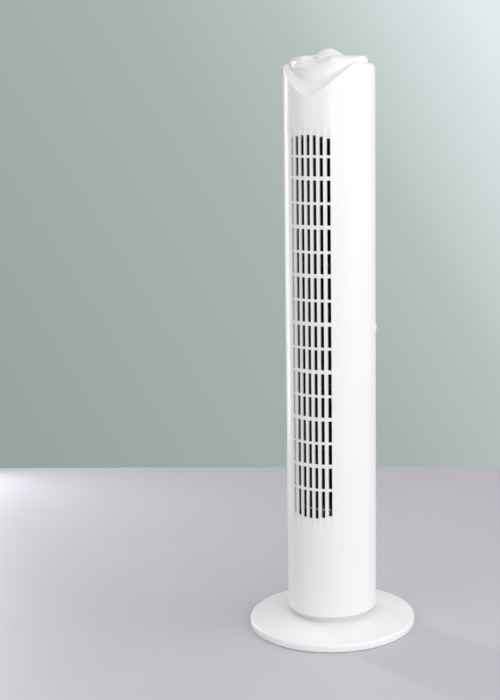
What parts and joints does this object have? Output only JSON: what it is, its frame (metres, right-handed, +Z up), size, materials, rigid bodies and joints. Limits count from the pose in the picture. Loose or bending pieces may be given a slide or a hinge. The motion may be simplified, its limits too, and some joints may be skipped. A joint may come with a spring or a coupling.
{
  "type": "tower fan",
  "caption": "Slim free-standing tower fan on a round base, with a slotted outlet grille, a swinging column, a cross-flow blower, and a timer dial and push buttons on top.",
  "frame": {"origin": "centre of the base's underside, at floor level", "axes": "+Z up along the column and the swing axis; -Y is the front, where the air leaves; +X is to the right of someone facing the same way as the fan's back"},
  "size_m": [0.22, 0.22, 0.7595],
  "materials": {
    "white_plastic": "smooth semi-gloss white",
    "tray_plastic": "fine matt white, as moulded",
    "black_plastic": "matt black, as moulded",
    "natural_plastic": "uncoloured engineering plastic",
    "steel": "zinc-plated steel",
    "painted_steel": "plain pressed steel can, lacquered",
    "motor_iron": "laminated motor iron, varnished",
    "bronze": "sintered bronze",
    "rubber": "matt black rubber",
    "capacitor_shell": "moulded block, dark grey"
  },
  "bodies": {
    "base": {"base_cover": "white_plastic", "base_bottom": "tray_plastic", "base_weight": "steel", "rubber_feet": "rubber", "base_screws": "steel", "pivot_post": "steel", "post_screws": "steel", "slip_ring": "natural_plastic", "swing_yoke": "steel", "retaining_ring": "steel"},
    "tower": {"front_housing": "white_plastic", "rear_housing": "white_plastic", "control_pod": "white_plastic", "control_lid": "white_plastic", "seam_clips": "white_plastic", "duct_tongue": "white_plastic", "turntable": "tray_plastic", "lower_bulkhead": "tray_plastic", "upper_bulkhead": "tray_plastic", "air_duct": "black_plastic", "switch_block": "black_plastic", "timer_body": "natural_plastic", "swing_motor_screws": "steel", "motor_screws": "steel", "housing_screws": "steel", "pod_screws": "steel", "lid_screws": "steel", "motor_housing": "painted_steel", "swing_motor": "painted_steel", "motor_stator": "motor_iron", "motor_bearings": "bronze", "bearing_bush": "bronze", "bearing_rubber": "rubber", "cord_inlet": "rubber", "capacitor": "capacitor_shell"},
    "crank": {"swing_crank": "steel"},
    "blower": {"impeller_coupling": "natural_plastic", "impeller": "black_plastic", "motor_rotor": "steel", "top_pin": "steel"},
    "knob": {"timer_knob": "white_plastic", "knob_spindle": "steel"},
    "off_button": {"off_button": "white_plastic"},
    "low_button": {"low_button": "white_plastic"},
    "medium_button": {"medium_button": "white_plastic"},
    "high_button": {"high_button": "white_plastic"},
    "swing_button": {"swing_button": "white_plastic"}
  },
  "joints": [
    {"name": "swing", "type": "hinge", "parent": "base", "child": "tower", "pos_m": [0, 0, 0.025], "axis": [0, 0, 1], "range_deg": [-35, 35]},
    {"name": "crank_turn", "type": "hinge", "parent": "tower", "child": "crank", "pos_m": [0, 0.03, 0.0566], "axis": [0, 0, 1], "range_deg": [-100, 100]},
    {"name": "blower_spin", "type": "hinge", "parent": "tower", "child": "blower", "pos_m": [0, 0, 0.167], "axis": [0, 0, 1], "continuous": true},
    {"name": "timer_turn", "type": "hinge", "parent": "tower", "child": "knob", "pos_m": [0, 0, 0.75], "axis": [0, 0, 1], "range_deg": [-250, 0]},
    {"name": "off_button_press", "type": "slide", "parent": "tower", "child": "off_button", "axis": [0, 0, -1], "range_m": [0, 0.003], "stiffness_N_per_m": 300, "springref_m": -0.002},
    {"name": "low_button_press", "type": "slide", "parent": "tower", "child": "low_button", "axis": [0, 0, -1], "range_m": [0, 0.003], "stiffness_N_per_m": 300, "springref_m": -0.002},
    {"name": "medium_button_press", "type": "slide", "parent": "tower", "child": "medium_button", "axis": [0, 0, -1], "range_m": [0, 0.003], "stiffness_N_per_m": 300, "springref_m": -0.002},
    {"name": "high_button_press", "type": "slide", "parent": "tower", "child": "high_button", "axis": [0, 0, -1], "range_m": [0, 0.003], "stiffness_N_per_m": 300, "springref_m": -0.002},
    {"name": "swing_button_press", "type": "slide", "parent": "tower", "child": "swing_button", "axis": [0, 0, -1], "range_m": [0, 0.003], "stiffness_N_per_m": 300, "springref_m": -0.002}
  ],
  "couplings": [
    {"joint": "crank_turn", "follows": "swing", "ratio": -2.85}
  ]
}
